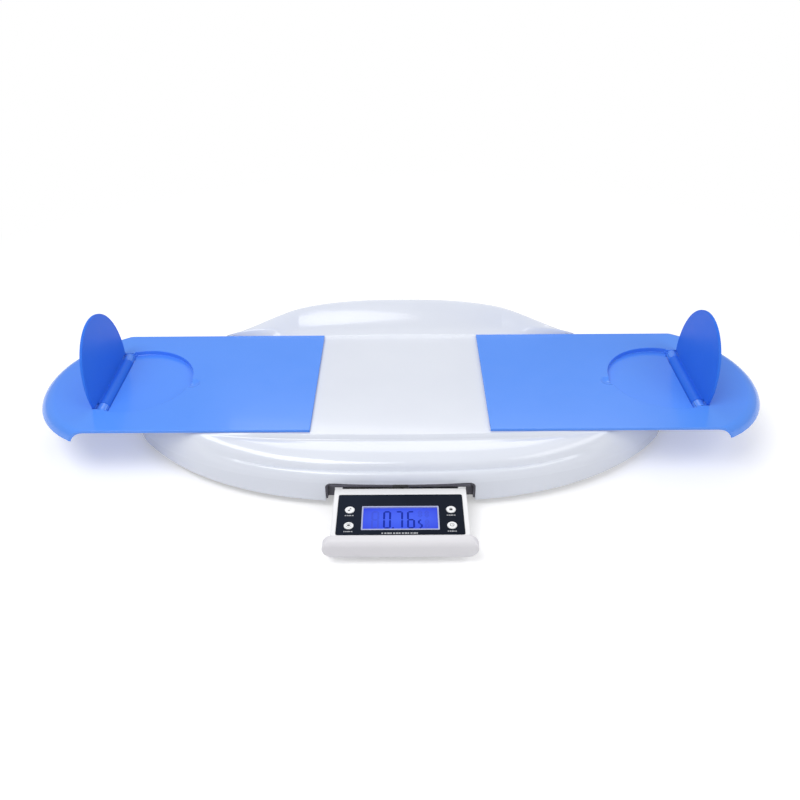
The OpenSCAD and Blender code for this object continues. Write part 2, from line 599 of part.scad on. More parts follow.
// Spring strip in the liner's roof; its hook stops the drawer's rear rib.
module bay_catch() {
  front = bay_mouth + 1;
  translate([-catch_w / 2, front, liner_top - 1.6]) cube([catch_w, catch_end - front, 1.4]);
  translate([-catch_w / 2 + 2, catch_end - 1.4, liner_top - bay_wall - 0.7]) cube([catch_w - 4, 1.4, bay_wall]);
  translate([-catch_w / 2, catch_end - 6, liner_top - 0.3]) cube([catch_w, 6, 1.5]);
  translate([-catch_w / 2, catch_end - 1, liner_top]) cube([catch_w, 10, 1.2]);
}

// ---- base ----
base_bottom = foot_h + 0.5;
boss_r = 4.2;
base_boss_r = 5.4;
base_boss_h = 6;
head_r = 3;
boss_gap = 4.4;                                    // between a boss and the shoes' track
boss_y = stem_y + shoe_out + boss_r + boss_gap;
boss_spots = [for (sx = [-1, 1], sy = [-1, 1], x = [0.578 * half_l, liner_half + 19]) [sx * x, sy * boss_y]];
foot_spots = [for (sx = [-1, 1], sy = [-1, 1]) [sx * foot_x, sy * foot_y]];
box_x = -half_l * 0.44;                            // centre of the battery box
box_y = 20;
box_l = cell_l + 7;
box_w = 8 * cell_r + 2.4;
box_h0 = base_bottom + 2 + 0.5;
box_top = box_h0 + 2 * cell_r + 0.6;
door_t = 2;
door_pivot_r = 1.2;
door_x = box_x - box_l / 2 + door_pivot_r + seat;
door_h = base_bottom + door_pivot_r;
main_x = half_l * 0.47;
main_y = 40;
main_w = 70;
main_d = 50;
main_h0 = base_top + 5;
speaker_y = -52;
speaker_r = 18;
holder_r = foot_r + 2.8;
cell_t = 2.5;
cell_h0 = foot_h - 1.8;

module base_shell() difference() {
  union() {
    translate([0, 0, base_bottom]) linear_extrude(wall) difference() {
      hollow(seat);
      translate([-bay_half, bay_mouth - 10]) square([2 * bay_half, 10 + grip_t + 5]);
    }
    for (p = boss_spots) translate([p[0], p[1], base_top - eps]) cylinder(r = base_boss_r, h = base_boss_h);
    translate([box_x - box_l / 2 - 2, box_y - box_w / 2 - 2, base_bottom])
      cube([box_l + 4, box_w + 4, box_top + 2 - base_bottom]);
    for (sx = [-1, 1], sy = [-1, 1]) translate([main_x + sx * (main_w / 2 - 5), main_y + sy * (main_d / 2 - 5), base_top - eps])
      cylinder(r = 3, h = main_h0 - base_top + eps);
  }
  for (p = boss_spots) translate([p[0], p[1], 0]) {
    cylinder(r = screw_r + 0.25, h = 60);
    cylinder(r = head_r + 0.3, h = base_top + base_boss_h - 2.5);
  }
  for (p = foot_spots) translate([p[0], p[1], 0]) cylinder(r = holder_r + fit, h = 30);
  translate([box_x - box_l / 2, box_y - box_w / 2, 0]) cube([box_l, box_w, box_top]);
  across(door_pivot_r + fit, box_y - box_w / 2 - 2.2, box_y + box_w / 2 + 2.2, door_x, door_h);
  for (a = [0 : 60 : 300], d = [5.5, 11]) translate([main_x + d * cos(a), speaker_y + d * sin(a), 0]) cylinder(r = 1.2, h = 30);
  for (p = bay_screw_spots()) translate([p[0], p[1], 0]) cylinder(r = screw_r + fit, h = 30, $fn = 24);
}

module battery_door() {
  y0 = box_y - box_w / 2 + seat;
  w = box_w - 2 * seat;
  difference() {
    union() {
      translate([door_x, y0, base_bottom]) cube([box_l - door_pivot_r - 2 * seat, w, door_t]);
      across(door_pivot_r, y0, y0 + w, door_x, door_h);
      across(door_pivot_r, y0 - 2, y0 + w + 2, door_x, door_h);
    }
    // Finger hollow at the free edge.
    translate([box_x + box_l / 2 - 8, box_y, base_bottom - 8]) sphere(r = 8.9);
  }
}

module battery(i) translate([box_x - cell_l / 2 - 0.5, box_y + (i - 1.5) * (2 * cell_r + 0.5), box_h0 + cell_r])
  rotate([0, 90, 0]) union() {
    cylinder(r = cell_r, h = cell_l - 1.2);
    cylinder(r = 2.7, h = cell_l);
  }

module battery_contacts() for (sx = [-1, 1], i = [0 : 3])
  translate([box_x + sx * (box_l / 2 - 0.4) - 0.4, box_y + (i - 1.5) * (2 * cell_r + 0.5) - 5, box_h0 + 2]) {
    cube([0.8, 10, 2 * cell_r - 4]);
    translate([sx < 0 ? 0.4 : 0.4 - 1.6, 5, cell_r - 2]) rotate([0, 90, 0])
      cylinder(r = 3, h = sx < 0 ? 1.8 : 1.6);
  }

module load_cell(i) translate([foot_spots[i][0], foot_spots[i][1], cell_h0]) difference() {
  cylinder(r = foot_r + 0.7, h = cell_t);
  for (sx = [-1, 1]) translate([sx * 6 - 1, -9, -1]) cube([2, 15, 5]);
}

module cell_holder(i) translate([foot_spots[i][0], foot_spots[i][1], 0]) difference() {
  union() {
    translate([0, 0, foot_h - 2.6]) cylinder(r = holder_r, h = base_top - foot_h + 2.6);
    translate([0, 0, base_top]) cylinder(r = holder_r + 4, h = 2);
  }
  translate([0, 0, -1]) cylinder(r = foot_r + 0.8, h = cell_h0 + cell_t + 1);
  translate([0, 0, 0]) cylinder(r = 3, h = 40);
}

module foot(i) translate([foot_spots[i][0], foot_spots[i][1], 0]) {
  cylinder(r1 = foot_r - 0.6, r2 = foot_r, h = 0.6);
  translate([0, 0, 0.6 - eps]) cylinder(r = foot_r, h = foot_h - 3.6);
  cylinder(r = 4.5, h = cell_h0);
}

module base_screws() for (p = boss_spots) translate([p[0], p[1], base_top + base_boss_h - 2.5]) {
  translate([0, 0, -1.9]) cylinder(r = head_r, h = 1.9, $fn = 24);
  cylinder(r = screw_r, h = 14, $fn = 24);
}

module main_board() translate([main_x - main_w / 2, main_y - main_d / 2, main_h0]) cube([main_w, main_d, pcb_t]);

// Connectors, chip and capacitors on the main circuit board.
module board_parts() {
  h = main_h0 + pcb_t;
  translate([main_x - 8, main_y - 8, h]) cube([16, 16, 2.2]);
  for (i = [0 : 3]) translate([main_x - 27 + 14 * i, main_y + main_d / 2 - 8, h]) cube([9, 6, 5]);
  translate([main_x - main_w / 2 + 1, main_y - 7, h]) cube([5, 14, 4]);
  for (i = [0, 1]) translate([main_x + 22, main_y - 14 + 12 * i, h]) cylinder(r = 4, h = 9);
}

module speaker() translate([main_x, speaker_y, base_top]) {
  difference() {
    cylinder(r = speaker_r, h = 4.5);
    translate([0, 0, -1]) cylinder(r1 = 15, r2 = 9, h = 4.6);
  }
  translate([0, 0, 4.4]) cylinder(r = 10, h = 5);
}

cable_t = 0.6;
cable_w = 14;
module flat_cable() {
  x1 = main_x - main_w / 2;
  y1 = main_y - cable_w / 2;
  translate([-cable_w / 2, liner_back + 1, base_top]) cube([cable_w, y1 + cable_w - liner_back - 1, cable_t]);
  translate([-cable_w / 2, y1, base_top]) cube([x1 - 2 + cable_w / 2, cable_w, cable_t]);
  translate([x1 - 2 - cable_t, y1, base_top]) cube([cable_t, cable_w, main_h0 + pcb_t + cable_t - base_top]);
  translate([x1 - 2 - cable_t, y1, main_h0 + pcb_t]) cube([3 + cable_t, cable_w, cable_t]);
}

lead_r = 1;
// Routes of the load cells' leads over the base, as [x, y].
lead_routes = [
  [[-foot_x + holder_r + 5, -foot_y], [-112, -60], [-100, -30], [-100, 74],
    [main_x - 20, 74], [main_x - 20, main_y + main_d / 2 + 1]],
  [[-foot_x + holder_r + 5, foot_y + 4], [-196, 80], [main_x - 8, 80], [main_x - 8, main_y + main_d / 2 + 1]],
  [[foot_x - holder_r - 5, -foot_y], [196, -20], [196, 74], [main_x + 22, 74], [main_x + 22, main_y + main_d / 2 + 1]],
  [[foot_x - 7, foot_y + holder_r + 5], [foot_x - 22, 80], [main_x + 10, 80], [main_x + 10, main_y + main_d / 2 + 1]]];
function unit(v) = v / norm(v);
function left_of(v) = [-v[1], v[0]];
// A point beside a route's bend, at distance d to its left.
function beside(r, i, d) =
  let (u = left_of(unit(i == 0 ? r[1] - r[0] : r[i] - r[i - 1])),
       v = left_of(unit(i == len(r) - 1 ? r[i] - r[i - 1] : r[i + 1] - r[i])), m = unit(u + v))
  r[i] + m * d / (m * u);
module cell_leads() for (r = lead_routes) translate([0, 0, base_top]) linear_extrude(2 * lead_r)
  polygon(concat([for (i = [0 : len(r) - 1]) beside(r, i, lead_r)],
    [for (i = [len(r) - 1 : -1 : 0]) beside(r, i, -lead_r)]));

// ---- casing ----
module top_shell() {
  boss_top = platform_h - 0.5 * wall;
  slot_from = stem_from - board_travel - 1;
  difference() {
    union() {
      casing_wall();
      for (p = boss_spots) translate([p[0], p[1], base_top + base_boss_h + seat])
        cylinder(r = boss_r, h = boss_top - base_top - base_boss_h - seat);
    }
    for (p = boss_spots) translate([p[0], p[1], 0]) cylinder(r = screw_r + fit, h = base_top + base_boss_h + 16);
    // Track of the boards.
    translate([-half_l, -board_w / 2 - 0.4, platform_h + 0.05]) cube([2 * half_l, board_w + 0.8, 60]);
    // Opening for the drawer.
    translate([0, bay_mouth + 12, 0]) rotate([90, 0, 0]) linear_extrude(24) bay_profile(bay_half, bay_top, bay_corner);
    // Slots for the guide stems.
    for (sx = [-1, 1], sy = [-1, 1]) translate([sx < 0 ? -stem_from - stem_l - 1 : slot_from, sy * stem_y - stem_w / 2 - seat, platform_h - wall - 1])
      cube([stem_from + stem_l + 1 - slot_from, stem_w + 2 * seat, wall + 4]);
  }
}

module mirrored() mirror([1, 0, 0]) children();

at_origin() color(white) top_shell();
at_origin() color(white) base_shell();
at_origin() color(dark) bay_liner();
at_origin() color(dark) runner();  // left_runner
at_origin() color(dark) mirrored() runner();  // right_runner
at_origin() color(black) bay_catch();
at_origin() color(steel) bay_screws();
at_origin() color(blue) board();  // left_board
at_origin() color(blue) mirrored() board();  // right_board
at_origin() color(deep_blue) flap();  // left_flap
at_origin() color(deep_blue) mirrored() flap();  // right_flap
at_origin() color(steel) hinge_pin();  // left_hinge_pin
at_origin() color(steel) mirrored() hinge_pin();  // right_hinge_pin
at_origin() color(white) slide_shoes();  // left_slide_shoes
at_origin() color(white) mirrored() slide_shoes();  // right_slide_shoes
at_origin() color(steel) shoe_screws();  // left_shoe_screws
at_origin() color(steel) mirrored() shoe_screws();  // right_shoe_screws
at_origin() color(white) drawer_tray();
at_origin() color(white) drawer_grip();
at_origin() color(white) panel_frame();
at_origin() color(black) display_window();
at_origin() color([0.66, 0.68, 0.84]) lcd_frame();
at_origin() color([0.25, 0.40, 1.0]) lcd_glass();
at_origin() color(white) backlight();
at_origin() color(pcb_green) display_board();
at_origin() color(steel) display_screws();
at_origin() color(black) button_switches();
at_origin() color(white) button(-1, 0);  // music_button
at_origin() color(white) button(-1, 1);  // tare_button
at_origin() color(white) button(1, 0);  // lock_button
at_origin() color(white) button(1, 1);  // power_button
at_origin() color(pcb_green) main_board();
at_origin() color(black) board_parts();
at_origin() color(black) speaker();
at_origin() color(steel) battery(0);  // battery_1
at_origin() color(steel) battery(1);  // battery_2
at_origin() color(steel) battery(2);  // battery_3
at_origin() color(steel) battery(3);  // battery_4
at_origin() color(steel) battery_contacts();
at_origin() color(white) battery_door();
at_origin() color(steel) load_cell(0);  // load_cell_1
at_origin() color(steel) load_cell(1);  // load_cell_2
at_origin() color(steel) load_cell(2);  // load_cell_3
at_origin() color(steel) load_cell(3);  // load_cell_4
at_origin() color(white) cell_holder(0);  // cell_holder_1
at_origin() color(white) cell_holder(1);  // cell_holder_2
at_origin() color(white) cell_holder(2);  // cell_holder_3
at_origin() color(white) cell_holder(3);  // cell_holder_4
at_origin() color(dark) foot(0);  // foot_1
at_origin() color(dark) foot(1);  // foot_2
at_origin() color(dark) foot(2);  // foot_3
at_origin() color(dark) foot(3);  // foot_4
at_origin() color(steel) base_screws();
at_origin() color([0.85, 0.85, 0.80]) flat_cable();
at_origin() color(black) cell_leads();
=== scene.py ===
import bmesh
import bpy
from math import cos, pi, radians, sin, sqrt
from mathutils import Matrix, Vector


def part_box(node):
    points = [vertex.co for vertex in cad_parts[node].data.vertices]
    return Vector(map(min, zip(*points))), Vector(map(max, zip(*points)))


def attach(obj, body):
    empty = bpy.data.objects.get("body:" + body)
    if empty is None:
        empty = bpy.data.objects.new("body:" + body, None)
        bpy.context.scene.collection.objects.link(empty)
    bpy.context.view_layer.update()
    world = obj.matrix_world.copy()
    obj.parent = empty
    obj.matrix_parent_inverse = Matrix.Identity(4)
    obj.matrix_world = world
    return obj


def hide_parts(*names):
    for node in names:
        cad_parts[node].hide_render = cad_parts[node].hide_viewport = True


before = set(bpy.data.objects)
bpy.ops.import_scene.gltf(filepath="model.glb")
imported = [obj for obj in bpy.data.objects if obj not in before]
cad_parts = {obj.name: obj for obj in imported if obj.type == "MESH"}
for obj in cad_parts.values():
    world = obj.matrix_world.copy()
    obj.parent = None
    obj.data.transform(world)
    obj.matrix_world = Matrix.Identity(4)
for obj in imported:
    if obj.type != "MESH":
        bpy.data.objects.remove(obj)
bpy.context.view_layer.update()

mm = 0.001
forward = 39.5  # the boards' centre line lies this far behind the frame's origin
print("frame loaded:", len(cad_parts), "nodes")


class Wire:
    # a shader socket, or a plain number, that takes part in sums
    def __init__(self, finish, socket):
        self.finish, self.socket = finish, socket

    def sum(self, operation, first, second):
        return self.finish.node("ShaderNodeMath", {"operation": operation}, {0: first, 1: second})

    def __add__(self, other): return self.sum("ADD", self, other)
    def __radd__(self, other): return self.sum("ADD", other, self)
    def __sub__(self, other): return self.sum("SUBTRACT", self, other)
    def __rsub__(self, other): return self.sum("SUBTRACT", other, self)
    def __mul__(self, other): return self.sum("MULTIPLY", self, other)
    def __rmul__(self, other): return self.sum("MULTIPLY", other, self)
    def __truediv__(self, other): return self.sum("DIVIDE", self, other)
    def __lt__(self, other): return self.sum("LESS_THAN", self, other)
    def __gt__(self, other): return self.sum("GREATER_THAN", self, other)
    def most(self, other): return self.sum("MAXIMUM", self, other)


class Finish:
    # a material: Principled values that never vary, and nodes for what does
    def __init__(self, name, **values):
        self.material = bpy.data.materials.new(name)
        self.material.use_nodes = True
        self.tree = self.material.node_tree
        self.shader = self.tree.nodes["Principled BSDF"]
        for key, value in values.items():
            self.set(key, value)

    def set(self, key, value):
        socket = self.shader.inputs[key.replace("_", " ")]
        if isinstance(value, Wire):
            self.tree.links.new(value.socket, socket)
        elif isinstance(value, tuple) and len(value) == 3:
            socket.default_value = (*value, 1.0)
        else:
            socket.default_value = value

    def node(self, kind, settings=None, inputs=None, output=0):
        made = self.tree.nodes.new(kind)
        stops = None
        for key, value in (settings or {}).items():
            if key == "stops":
                stops = value
            else:
                setattr(made, key, value)
        if stops:
            ramp = made.color_ramp
            while len(ramp.elements) < len(stops):
                ramp.elements.new(0.5)
            for element, (place, colour) in zip(ramp.elements, stops):
                element.position, element.color = place, (*colour, 1.0)
        for key, value in (inputs or {}).items():
            socket = made.inputs[key]
            if isinstance(value, Wire):
                self.tree.links.new(value.socket, socket)
            elif isinstance(value, tuple) and len(value) == 3 and socket.type == "RGBA":
                socket.default_value = (*value, 1.0)
            else:
                socket.default_value = value
        return Wire(self, made.outputs[output])

    def place(self):  # object coordinates
        return self.node("ShaderNodeTexCoord", output="Object")

    def axes(self):  # x, y and z of the object coordinates, in metres
        place = self.place()
        return [self.node("ShaderNodeSeparateXYZ", None, {0: place}, i) for i in range(3)]

    def noise(self, scale, detail=2.0, vector=None, rough=0.5):
        return self.node("ShaderNodeTexNoise", None, {"Vector": vector or self.place(), "Scale": scale,
                                                      "Detail": detail, "Roughness": rough}, "Fac")

    def ramp(self, value, low, high):  # 0..1 between two numbers, clamped
        return self.node("ShaderNodeMapRange", {"clamp": True}, {0: value, 1: low, 2: high})

    def blend(self, amount, first, second):
        return self.node("ShaderNodeMix", {"data_type": "RGBA"}, {0: amount, 6: first, 7: second}, 2)

    def bump(self, height, distance, strength=1.0):
        self.set("Normal", self.node("ShaderNodeBump", None,
                                     {"Height": height, "Distance": distance, "Strength": strength}))


moulding = {"ior": 1.48, "coatRoughness": 0.06, "mottleRange": (0.3, 0.7), "wearRange": (0.35, 0.8),
            "wearRough": 0.65, "grainShare": 0.35, "grainPerWave": 40.0}


def mouldedPlastic(name, look):
    # injection-moulded plastic: faint mottling, polish that varies, soft waviness, fine texture
    m = moulding
    finish = Finish(name, IOR=look.get("ior", m["ior"]), Coat_Roughness=m["coatRoughness"])
    mottle = finish.ramp(finish.noise(look["mottle"], 3.0), *m["mottleRange"])
    finish.set("Base_Color", finish.blend(mottle, look["shade"], look["colour"]))
    wear = finish.ramp(finish.noise(look["wear"], 4.0, rough=m["wearRough"]), *m["wearRange"])
    finish.set("Roughness", wear * look["spread"] + look["roughness"])
    if look.get("coat"):
        finish.set("Coat_Weight", look["coat"])
    grain = finish.noise(look["grain"], 2.0) * m["grainShare"]
    finish.bump(grain + finish.noise(look["grain"] / m["grainPerWave"], 1.0), look["relief"])
    return finish.material


plastics = {
    "caseWhite": {"colour": (0.765, 0.80, 0.885), "shade": (0.735, 0.77, 0.86), "mottle": 9.0, "wear": 60.0,
                  "spread": 0.08, "roughness": 0.14, "coat": 0.5, "grain": 900.0, "relief": 0.00003},
    "baseWhite": {"colour": (0.66, 0.68, 0.73), "shade": (0.61, 0.63, 0.69), "mottle": 9.0, "wear": 60.0,
                  "spread": 0.10, "roughness": 0.38, "grain": 1400.0, "relief": 0.00008},
    "boardBlue": {"colour": (0.088, 0.295, 0.96), "shade": (0.080, 0.28, 0.93), "mottle": 7.0, "wear": 45.0,
                  "spread": 0.08, "roughness": 0.20, "coat": 0.2, "grain": 500.0, "relief": 0.00001},
    "flapBlue": {"colour": (0.036, 0.185, 0.83), "shade": (0.031, 0.168, 0.79), "mottle": 8.0, "wear": 50.0,
                 "spread": 0.08, "roughness": 0.34, "ior": 1.2, "grain": 500.0, "relief": 0.00001},
    "bayGrey": {"colour": (0.085, 0.082, 0.105), "shade": (0.07, 0.068, 0.09), "mottle": 20.0, "wear": 80.0,
                "spread": 0.15, "roughness": 0.45, "grain": 1800.0, "relief": 0.0001},
    "drawerWhite": {"colour": (0.86, 0.865, 0.885), "shade": (0.84, 0.845, 0.87), "mottle": 12.0, "wear": 70.0,
                    "spread": 0.10, "roughness": 0.30, "grain": 1300.0, "relief": 0.00005},
    "keyWhite": {"colour": (0.86, 0.87, 0.89), "shade": (0.82, 0.83, 0.86), "mottle": 60.0, "wear": 200.0,
                 "spread": 0.08, "roughness": 0.25, "grain": 2500.0, "relief": 0.00002},
    "inkBlack": {"colour": (0.012, 0.014, 0.02), "shade": (0.02, 0.022, 0.03), "mottle": 50.0, "wear": 200.0,
                 "spread": 0.15, "roughness": 0.35, "grain": 2500.0, "relief": 0.00002},
    "windowBlack": {"colour": (0.004, 0.007, 0.016), "shade": (0.007, 0.012, 0.026), "mottle": 15.0,
                    "wear": 90.0, "spread": 0.05, "roughness": 0.16, "ior": 1.1, "grain": 2500.0,
                    "relief": 0.00001},
    "lcdFrame": {"colour": (0.42, 0.45, 0.66), "shade": (0.38, 0.41, 0.62), "mottle": 60.0, "wear": 160.0,
                 "spread": 0.1, "roughness": 0.35, "grain": 2500.0, "relief": 0.00002},
    "diffuser": {"colour": (0.80, 0.82, 0.85), "shade": (0.76, 0.78, 0.82), "mottle": 40.0, "wear": 100.0,
                 "spread": 0.1, "roughness": 0.5, "grain": 2500.0, "relief": 0.00002},
    "blackPlastic": {"colour": (0.02, 0.02, 0.022), "shade": (0.03, 0.03, 0.032), "mottle": 40.0,
                     "wear": 120.0, "spread": 0.2, "roughness": 0.45, "grain": 2200.0, "relief": 0.00006},
    "gripWhite": {"colour": (0.775, 0.765, 0.80), "shade": (0.745, 0.735, 0.775), "mottle": 12.0, "wear": 70.0,
                  "spread": 0.10, "roughness": 0.38, "grain": 1500.0, "relief": 0.00006},
    "figureBlue": {"colour": (0.008, 0.026, 0.34), "shade": (0.009, 0.029, 0.37), "mottle": 90.0, "wear": 200.0,
                   "spread": 0.1, "roughness": 0.4, "ior": 1.12, "grain": 2500.0, "relief": 0.00001},
    "printWhite": {"colour": (0.50, 0.51, 0.54), "shade": (0.42, 0.43, 0.46), "mottle": 150.0, "wear": 200.0,
                   "spread": 0.1, "roughness": 0.45, "grain": 2500.0, "relief": 0.00001},
    "cableGrey": {"colour": (0.45, 0.45, 0.43), "shade": (0.38, 0.38, 0.37), "mottle": 60.0, "wear": 120.0,
                  "spread": 0.15, "roughness": 0.45, "grain": 2200.0, "relief": 0.00004},
}
finishes = {name: mouldedPlastic(name, look) for name, look in plastics.items()}


def brushedSteel():
    # bright metal with fine lines drawn along Y
    look = {"colour": (0.60, 0.61, 0.63), "shade": (0.46, 0.47, 0.49), "roughness": 0.26, "spread": 0.2,
            "across": 3000.0, "along": 60.0, "relief": 0.00003}
    finish = Finish("brushedSteel", Metallic=1.0)
    x, y, z = finish.axes()
    drawn = finish.node("ShaderNodeCombineXYZ", None,
                        {0: x * look["across"], 1: y * look["along"], 2: z * look["across"]})
    lines = finish.noise(1.0, 3.0, drawn)
    finish.set("Base_Color", finish.blend(lines, look["shade"], look["colour"]))
    finish.set("Roughness", lines * look["spread"] + look["roughness"])
    finish.bump(lines, look["relief"])
    return finish.material


def rubberGrey():
    # matt rubber with dust in patches
    look = {"rubber": (0.055, 0.055, 0.058), "dust": (0.11, 0.11, 0.112), "patches": 140.0,
            "dustRange": (0.5, 0.8), "roughness": 0.68, "spread": 0.2, "grain": 1600.0, "relief": 0.00015}
    finish = Finish("rubberGrey")
    dust = finish.ramp(finish.noise(look["patches"], 4.0), *look["dustRange"])
    finish.set("Base_Color", finish.blend(dust, look["rubber"], look["dust"]))
    finish.set("Roughness", dust * look["spread"] + look["roughness"])
    finish.bump(finish.noise(look["grain"], 3.0), look["relief"])
    return finish.material


def circuitGreen():
    # solder mask over copper tracks that wander
    look = {"mask": (0.012, 0.11, 0.045), "track": (0.03, 0.20, 0.085), "pitch": 0.0045, "width": 0.0006,
            "bends": 60.0, "wander": 0.006, "roughness": 0.28, "spread": 0.1, "smudges": 200.0,
            "relief": 0.00005}
    finish = Finish("circuitGreen")
    x, y, z = finish.axes()
    wander = finish.noise(look["bends"], 1.0) * look["wander"]
    lane = finish.node("ShaderNodeMath", {"operation": "PINGPONG"}, {0: x + wander, 1: look["pitch"]})
    track = lane < look["width"]
    finish.set("Base_Color", finish.blend(track, look["mask"], look["track"]))
    finish.set("Roughness", finish.noise(look["smudges"]) * look["spread"] + look["roughness"])
    finish.bump(track, look["relief"])
    return finish.material


def cellSleeve():
    # a battery's plain sleeve: dark body, bright band at the terminal end
    look = {"sleeve": (0.03, 0.032, 0.036), "band": (0.55, 0.38, 0.12), "bandShare": 0.28, "metal": 0.2,
            "bandMetal": 0.6, "roughness": 0.25, "spread": 0.15, "scuffs": 300.0, "grain": 800.0,
            "relief": 0.00002}
    finish = Finish("cellSleeve")
    low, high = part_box("battery_1")
    x, y, z = finish.axes()
    band = x > (low[0] + (high[0] - low[0]) * (1 - look["bandShare"]))
    finish.set("Base_Color", finish.blend(band, look["sleeve"], look["band"]))
    finish.set("Metallic", band * look["bandMetal"] + look["metal"])
    finish.set("Roughness", finish.noise(look["scuffs"], 3.0) * look["spread"] + look["roughness"])
    finish.bump(finish.noise(look["grain"], 2.0), look["relief"])
    return finish.material


def litGlass(name, look):
    # back-lit glass, brighter towards its middle
    finish = Finish(name, Roughness=look["roughness"], IOR=look["ior"], Emission_Strength=look["strength"])
    x, y, z = finish.axes()
    across, along = x / look["halfWidth"], (y - look["middle"]) / look["halfDepth"]
    cloud = finish.noise(look["cloud"], 1.0) * look["cloudShare"]
    edge = finish.ramp((across * across + along * along) * 0.5 + cloud, *look["edgeRange"])
    colour = finish.blend(edge, look["middleColour"], look["edgeColour"])
    finish.set("Base_Color", finish.blend(edge, look["body"], look["bodyEdge"]))
    finish.set("Emission_Color", colour)
    return finish.material


lcdLook = {"halfWidth": 0.037, "halfDepth": 0.0155, "middle": -0.158, "strength": 1.0, "roughness": 0.3,
           "ior": 1.2, "cloud": 45.0, "cloudShare": 0.25, "edgeRange": (0.1, 1.0),
           "middleColour": (0.045, 0.105, 0.80), "edgeColour": (0.034, 0.060, 0.66),
           "body": (0.01, 0.02, 0.12), "bodyEdge": (0.01, 0.016, 0.10)}
ghostLook = dict(lcdLook, middleColour=(0.036, 0.084, 0.66), edgeColour=(0.027, 0.048, 0.54))
finishes.update(litGlass=litGlass("litGlass", lcdLook), ghostBlue=litGlass("ghostBlue", ghostLook))
finishes.update(brushedSteel=brushedSteel(), rubberGrey=rubberGrey(), circuitGreen=circuitGreen(),
                cellSleeve=cellSleeve())

nodeFinish = {
    "top_shell": "caseWhite", "base_shell": "baseWhite", "bay_liner": "bayGrey", "left_runner": "bayGrey",
    "right_runner": "bayGrey", "bay_catch": "blackPlastic", "left_board": "boardBlue",
    "right_board": "boardBlue", "left_flap": "flapBlue", "right_flap": "flapBlue", "drawer_tray": "drawerWhite",
    "drawer_grip": "drawerWhite", "panel_frame": "drawerWhite", "display_window": "windowBlack",
    "lcd_frame": "lcdFrame", "lcd_glass": "lcdFrame", "backlight": "diffuser", "display_board": "circuitGreen",
    "main_board": "circuitGreen", "board_parts": "blackPlastic", "button_switches": "blackPlastic",
    "speaker": "blackPlastic", "cell_leads": "blackPlastic", "flat_cable": "cableGrey",
    "battery_door": "baseWhite", "left_slide_shoes": "baseWhite", "right_slide_shoes": "baseWhite",
}


def finishOf(node):
    if node in nodeFinish:
        return nodeFinish[node]
    if node.startswith("foot_"):
        return "rubberGrey"
    if node.startswith("cell_holder"):
        return "baseWhite"
    if node.endswith("_button"):
        return "keyWhite"
    if node[:-1] == "battery_":
        return "cellSleeve"
    return "brushedSteel"


for name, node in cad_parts.items():
    node.data.materials.clear()
    node.data.materials.append(finishes[finishOf(name)])
print("finishes:", len(finishes))


edges = {"sharp": 32.0, "soft": 40.0, "segments": 2}  # angles in degrees


def settle(bm, name, finish, body, replaced=(), scaled=True):
    # a finished mesh becomes a piece that rides on its body
    if scaled:
        bmesh.ops.scale(bm, vec=(mm, mm, mm), verts=bm.verts)
        bmesh.ops.translate(bm, vec=(0.0, forward * mm, 0.0), verts=bm.verts)
    mesh = bpy.data.meshes.new(name)
    bm.to_mesh(mesh)
    bm.free()
    mesh.shade_smooth()
    mesh.set_sharp_from_angle(angle=radians(edges["sharp"]))
    mesh.materials.append(finishes[finish])
    piece = bpy.data.objects.new(name, mesh)
    bpy.context.collection.objects.link(piece)
    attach(piece, body)
    if replaced:
        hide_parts(*replaced)
    return piece


def softenEdges(piece, width):
    bevel = piece.modifiers.new("softEdges", "BEVEL")
    bevel.width, bevel.segments, bevel.limit_method = width * mm, edges["segments"], "ANGLE"
    bevel.angle_limit, bevel.use_clamp_overlap, bevel.material = radians(edges["soft"]), False, -1
    shading = piece.modifiers.new("evenShading", "WEIGHTED_NORMAL")
    shading.keep_sharp = True


def block(bm, low, high):
    made = bmesh.ops.create_cube(bm, size=1.0)["verts"]
    size = [b - a for a, b in zip(low, high)]
    bmesh.ops.scale(bm, vec=size, verts=made)
    bmesh.ops.translate(bm, vec=[(a + b) / 2 for a, b in zip(low, high)], verts=made)


# The casing: one skin over the whole body, cut for the drawer and the boards' stems, then given its wall.
casing = {
    # plan: a long curve, with an ellipse at each tip; shares are of the half length
    "halfLength": 320.0, "halfDepth": 152.5, "lengthPower": 2.6, "depthPower": 1.3, "tipFrom": 0.9,
    "tipRun": 0.0625, "tipRound": 16.0, "tipStop": 0.02,
    # heights of the skirt's foot, the shoulder, the platform and the rear rim
    "foot": 9.0, "shoulder": 37.0, "shoulderFall": 13.0, "fallShare": 0.84, "platform": 60.7, "deck": 64.0,
    "rimRise": 26.5, "rimReach": 222.0, "rimFull": 1.3,
    # the platform's edge, and where a section turns into the end's shape
    "platformHalf": 104.5, "taper": 7.0, "taperShare": 0.635, "tipShare": 0.9, "boardHalf": 100.9,
    "rearHalf": 104.0, "rearEdge": 60.75, "endFrom": 0.375, "endRun": 0.36,
    # the recess under the boards and the slots for their stems
    "channelHalf": 68.0, "channelFloor": 48.5, "channelFrom": 99.69, "channelRamp": 31.04, "channelLean": 0.02,
    "lipWalls": 1.8, "lipShare": 0.035, "slotFrom": 96.5, "slotTo": 230.16, "slotIn": 75.1, "slotOut": 81.7,
    "slotLow": 55.0, "slotInShare": 0.35, "slotOutShare": 0.7,
    # the skirt, the drawer's notch in it, the wall and the mesh
    "skirtRows": (15.0, 21.0), "skirtFull": 27.3, "notchHalf": 77.5, "notchTop": 32.5, "notchRound": 6.0,
    "wall": 2.5, "edge": 0.35, "stationStep": 2.25, "curveSteps": 4,
}
